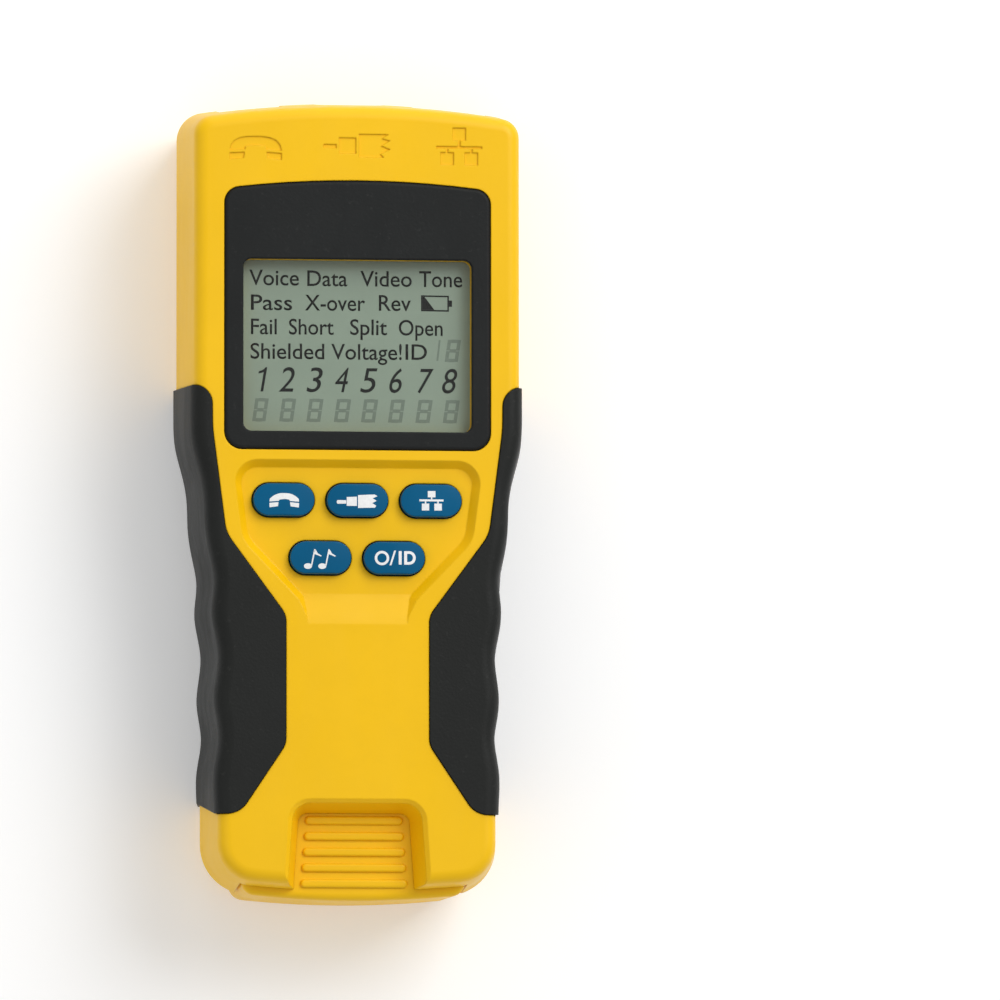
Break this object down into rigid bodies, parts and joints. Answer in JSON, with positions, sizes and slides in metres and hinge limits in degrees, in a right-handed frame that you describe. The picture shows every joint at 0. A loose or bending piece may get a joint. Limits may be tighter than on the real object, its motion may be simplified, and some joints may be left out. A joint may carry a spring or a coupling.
{
  "type": "network cable tester",
  "caption": "Hand-held network cable tester with display, push keys, phone, coaxial and network sockets on top, and a slide-out test remote in its base.",
  "frame": {"origin": "centre of the bounding box's footprint on the back face's plane, with the tester lying on its back", "axes": "+Z out of the front face, +Y towards the ports, +X to the right of the display as read"},
  "size_m": [0.0756, 0.172, 0.0369],
  "materials": {
    "battery_label": "printed wrap, plain",
    "black_plastic": "satin",
    "black_wire": "PVC",
    "blue_silicone": "satin, soft",
    "board_green": "solder mask",
    "capacitor_can": "satin sleeve",
    "carbon_pill": "matte conductive",
    "chip_epoxy": "moulded epoxy",
    "clear_lens": "clear, lightly scuffed",
    "dark_bezel": "fine matte texture",
    "gold_contact": "gold flash",
    "grey_silicone": "matte",
    "grip_rubber": "soft-touch, slightly worn",
    "lcd_glass": "grey-green reflective",
    "nickel": "bright nickel",
    "red_wire": "PVC",
    "steel": "plated",
    "white_plastic": "satin",
    "yellow_abs": "fine moulded texture"
  },
  "bodies": {
    "tester": {"battery": "battery_label", "battery_lead_black": "black_wire", "battery_lead_red": "red_wire", "battery_snap": "black_plastic", "battery_terminals": "nickel", "board_screws": "steel", "case_screws": "steel", "coax_jack_body": "nickel", "coax_jack_contact": "gold_contact", "coax_jack_insulator": "white_plastic", "controller_chip": "chip_epoxy", "crystal_can": "steel", "display_bezel": "dark_bezel", "driver_chips": "chip_epoxy", "front_housing": "yellow_abs", "grip_front_left": "grip_rubber", "grip_front_right": "grip_rubber", "grip_rear_left": "grip_rubber", "grip_rear_right": "grip_rubber", "keypad_mat": "grey_silicone", "lcd_backlight": "white_plastic", "lcd_frame": "white_plastic", "lcd_panel": "lcd_glass", "main_board": "board_green", "network_jack_contacts": "gold_contact", "network_jack_insert": "black_plastic", "network_jack_shell": "nickel", "phone_jack_body": "black_plastic", "phone_jack_contacts": "gold_contact", "rear_housing": "yellow_abs", "smoothing_capacitors": "capacitor_can", "window_lens": "clear_lens"},
    "key_phone": {"key_phone": "blue_silicone", "contact_pill_phone": "carbon_pill"},
    "key_coax": {"key_coax": "blue_silicone", "contact_pill_coax": "carbon_pill"},
    "key_network": {"key_network": "blue_silicone", "contact_pill_network": "carbon_pill"},
    "key_tone": {"key_tone": "blue_silicone", "contact_pill_tone": "carbon_pill"},
    "key_power": {"key_power": "blue_silicone", "contact_pill_power": "carbon_pill"},
    "remote": {"remote_board": "board_green", "remote_coax_body": "nickel", "remote_coax_contact": "gold_contact", "remote_coax_insulator": "white_plastic", "remote_front": "yellow_abs", "remote_network_contacts": "gold_contact", "remote_network_insert": "black_plastic", "remote_network_shell": "nickel", "remote_phone_body": "black_plastic", "remote_phone_contacts": "gold_contact", "remote_rear": "yellow_abs", "remote_screws": "steel"},
    "battery_door": {"battery_door": "yellow_abs"}
  },
  "joints": [
    {"name": "press_phone", "type": "slide", "parent": "tester", "child": "key_phone", "axis": [0, 0, -1], "range_m": [0, 0.0009], "stiffness_N_per_m": 900, "springref_m": -0.0006},
    {"name": "press_coax", "type": "slide", "parent": "tester", "child": "key_coax", "axis": [0, 0, -1], "range_m": [0, 0.0009], "stiffness_N_per_m": 900, "springref_m": -0.0006},
    {"name": "press_network", "type": "slide", "parent": "tester", "child": "key_network", "axis": [0, 0, -1], "range_m": [0, 0.0009], "stiffness_N_per_m": 900, "springref_m": -0.0006},
    {"name": "press_tone", "type": "slide", "parent": "tester", "child": "key_tone", "axis": [0, 0, -1], "range_m": [0, 0.0009], "stiffness_N_per_m": 900, "springref_m": -0.0006},
    {"name": "press_power", "type": "slide", "parent": "tester", "child": "key_power", "axis": [0, 0, -1], "range_m": [0, 0.0009], "stiffness_N_per_m": 900, "springref_m": -0.0006},
    {"name": "remote_slide", "type": "slide", "parent": "tester", "child": "remote", "axis": [0, -1, 0], "range_m": [0, 0.045]},
    {"name": "door_hinge", "type": "hinge", "parent": "tester", "child": "battery_door", "pos_m": [0, -0.045, 0.0013], "axis": [1, 0, 0], "range_deg": [-70, 0]}
  ]
}
